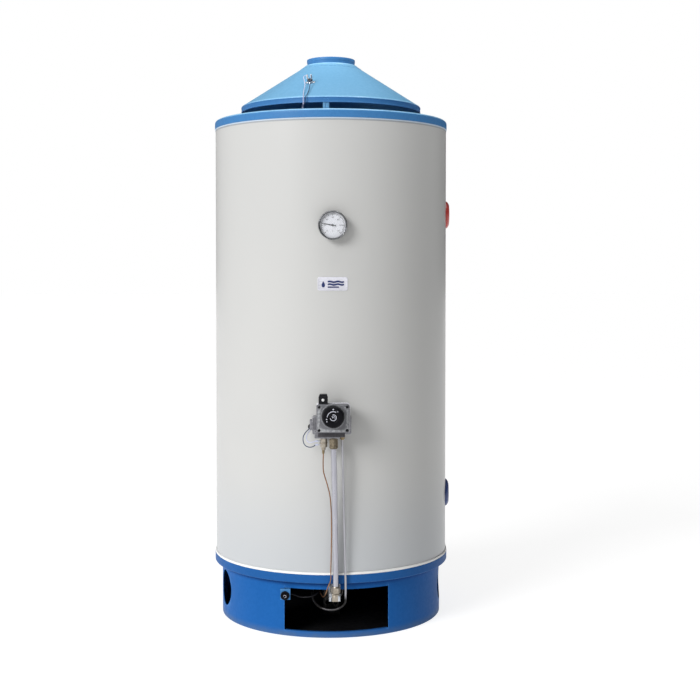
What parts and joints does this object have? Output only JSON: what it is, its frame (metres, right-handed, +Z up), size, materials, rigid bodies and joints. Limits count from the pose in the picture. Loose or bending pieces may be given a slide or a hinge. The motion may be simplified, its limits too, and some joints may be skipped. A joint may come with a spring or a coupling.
{
  "type": "tank water heater",
  "caption": "Floor-standing gas storage water heater with a round jacket, burner base, draft hood, dial thermometer and front gas control valve.",
  "frame": {"origin": "centre of the base on the floor, under the tank axis", "axes": "+Z up along the tank axis, front with the gas control valve towards -Y, water connections towards +X"},
  "size_m": [0.7149, 0.861, 1.675],
  "materials": {
    "skirt_blue": "satin",
    "trim_blue": "satin",
    "hood_blue": "satin",
    "jacket_white": "gloss",
    "seal_white": "satin",
    "tank_steel": "satin",
    "dark_steel": "matte",
    "zinc_steel": "satin",
    "glass_wool": "matte",
    "brass": "satin",
    "aluminium_tube": "satin",
    "copper_tube": "satin",
    "black_plastic": "satin",
    "white_plastic": "satin",
    "red_plastic": "satin",
    "blue_plastic": "satin",
    "cover_grey": "satin",
    "valve_casting": "satin",
    "dial_white": "satin",
    "glass": "gloss",
    "badge_enamel": "gloss",
    "magnesium": "matte",
    "ceramic": "satin",
    "lead_dark": "satin",
    "lead_light": "satin",
    "thermostat_case": "satin"
  },
  "bodies": {
    "casing": {"floor_plate": "dark_steel", "base_skirt": "skirt_blue", "bottom_trim_ring": "trim_blue", "bottom_seal": "seal_white", "jacket": "jacket_white", "top_seal": "seal_white", "top_lid": "trim_blue", "hood_cone": "hood_blue", "flue_collar": "trim_blue", "spill_thermostat": "thermostat_case", "tank_shell": "tank_steel", "tank_top_head": "tank_steel", "tank_bottom_head": "tank_steel", "flue_tube": "dark_steel", "flue_baffle": "dark_steel", "insulation": "glass_wool", "anode_plug": "zinc_steel", "anode_rod": "magnesium", "hot_outlet_socket": "brass", "cold_inlet_socket": "brass", "hot_rosette": "red_plastic", "cold_rosette": "blue_plastic", "drain_cock_body": "brass", "thermometer_pocket": "brass", "thermometer_case": "black_plastic", "thermometer_bezel": "black_plastic", "thermometer_dial": "dial_white", "thermometer_glass": "glass", "badge_plate": "badge_enamel", "thermostat_probe": "copper_tube", "valve_body": "valve_casting", "valve_cover": "cover_grey", "limiter_housing": "black_plastic", "thermocouple_block": "brass", "gas_outlet_nut": "brass", "pilot_nut": "brass", "gas_tube": "aluminium_tube", "manifold_nut": "brass", "manifold_elbow": "brass", "gas_injector": "brass", "manifold_bracket": "zinc_steel", "pilot_tube": "aluminium_tube", "thermocouple_lead": "copper_tube", "burner_venturi": "dark_steel", "burner_head": "dark_steel", "pilot_burner": "zinc_steel", "spark_electrode": "ceramic", "igniter_body": "black_plastic", "igniter_bracket": "skirt_blue", "hood_lead_1": "lead_light", "hood_lead_2": "lead_dark", "loop_lead_1": "lead_dark", "loop_lead_2": "lead_light", "ignition_lead": "black_plastic"},
    "spindle": {"knob_spindle": "zinc_steel"},
    "knob": {"control_knob": "black_plastic"},
    "igniter_push": {"igniter_button": "black_plastic"},
    "reset_push": {"reset_button": "white_plastic"},
    "needle": {"thermometer_needle": "black_plastic"},
    "drain_lever": {"drain_handle": "red_plastic"}
  },
  "joints": [
    {"name": "knob_press", "type": "slide", "parent": "casing", "child": "spindle", "axis": [0, 1, 0], "range_m": [0, 0.005], "stiffness_N_per_m": 800},
    {"name": "knob_turn", "type": "hinge", "parent": "spindle", "child": "knob", "pos_m": [0, -0.45, 0.6375], "axis": [0, -1, 0], "range_deg": [0, 270]},
    {"name": "igniter_press", "type": "slide", "parent": "casing", "child": "igniter_push", "axis": [0, 1, 0], "range_m": [0, 0.005], "stiffness_N_per_m": 1500},
    {"name": "reset_press", "type": "slide", "parent": "casing", "child": "reset_push", "axis": [0, 1, 0], "range_m": [0, 0.002], "stiffness_N_per_m": 1000},
    {"name": "needle_turn", "type": "hinge", "parent": "casing", "child": "needle", "pos_m": [0, -0.367, 1.16], "axis": [0, 1, 0], "range_deg": [-55, 215], "stiffness_Nm_per_rad": 0.001},
    {"name": "drain_turn", "type": "hinge", "parent": "casing", "child": "drain_lever", "pos_m": [0, 0.394, 0.275], "axis": [0, 1, 0], "range_deg": [0, 90]}
  ]
}
